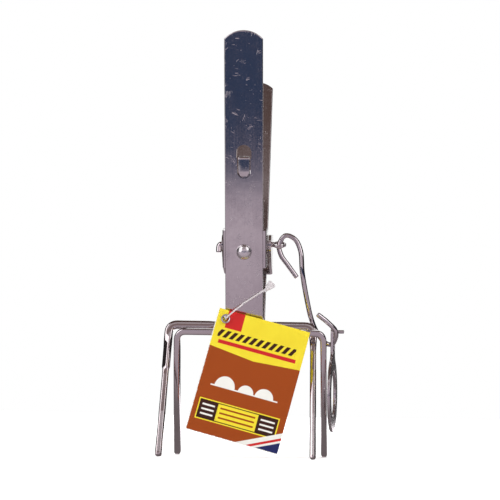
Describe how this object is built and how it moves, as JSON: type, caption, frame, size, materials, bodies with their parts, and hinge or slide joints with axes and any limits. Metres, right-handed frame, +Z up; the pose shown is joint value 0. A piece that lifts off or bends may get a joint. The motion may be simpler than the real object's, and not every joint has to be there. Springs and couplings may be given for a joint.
{
  "type": "mole trap",
  "caption": "Claw mole trap of plated steel strip handles, sprung pivot, interlocking U jaws of square bar, wire hook, trigger ring and card tag.",
  "frame": {"origin": "on the ground under the middle of the whole trap, which stands shut on its claws", "axes": "+Z up, +X along the pivot pin towards the trigger side, -Y the side that the front handle and the tag face"},
  "size_m": [0.0986, 0.1094, 0.2184],
  "materials": {
    "front_handle": "bright plated steel strip, fine scratches",
    "front_jaw": "bright plated square bar",
    "front_pivot_bracket": "bright plated sheet",
    "front_rivet": "mirror-bright dome",
    "rear_handle": "bright plated steel strip",
    "rear_jaw": "bright plated square bar",
    "rear_pivot_bracket": "bright plated sheet",
    "rear_rivet": "mirror-bright dome",
    "pivot_pin": "plated wire",
    "mainspring": "plated spring leaf",
    "trigger_hook": "plated round wire",
    "trigger_ring": "plated sheet",
    "hang_tag": "printed card",
    "tag_eyelet": "pressed eyelet",
    "tag_tie": "translucent plastic loop"
  },
  "bodies": {
    "front_arm": {"front_handle": "front_handle", "front_jaw": "front_jaw", "front_pivot_bracket": "front_pivot_bracket", "front_rivet": "front_rivet", "mainspring": "mainspring", "tag_tie": "tag_tie"},
    "rear_arm": {"rear_handle": "rear_handle", "rear_jaw": "rear_jaw", "rear_pivot_bracket": "rear_pivot_bracket", "rear_rivet": "rear_rivet"},
    "pin": {"pivot_pin": "pivot_pin"},
    "hook": {"trigger_hook": "trigger_hook"},
    "ring": {"trigger_ring": "trigger_ring"},
    "tag": {"hang_tag": "hang_tag", "tag_eyelet": "tag_eyelet"}
  },
  "joints": [
    {"name": "jaw_pivot", "type": "hinge", "parent": "front_arm", "child": "rear_arm", "pos_m": [-0.00481, 0, 0.11427], "axis": [1, 0, 0], "range_deg": [0, 32], "stiffness_Nm_per_rad": 3, "springref_deg": -28.65, "deforming": ["mainspring"]},
    {"name": "pin_turn", "type": "hinge", "parent": "rear_arm", "child": "pin", "pos_m": [-0.00481, 0, 0.11427], "axis": [1, 0, 0], "range_deg": [0, 20]},
    {"name": "hook_swing", "type": "hinge", "parent": "pin", "child": "hook", "pos_m": [0.01274, 0, 0.11427], "axis": [0, -1, 0], "range_deg": [0, 30]},
    {"name": "ring_swing", "type": "hinge", "parent": "hook", "child": "ring", "pos_m": [0.04232, 0.00612, 0.06087], "axis": [1, 0, 0], "range_deg": [-12, 12]},
    {"name": "tag_swing", "type": "hinge", "parent": "front_arm", "child": "tag", "pos_m": [-0.01431, -0.01349, 0.07267], "axis": [0, 1, 0], "range_deg": [-12, 3]}
  ]
}
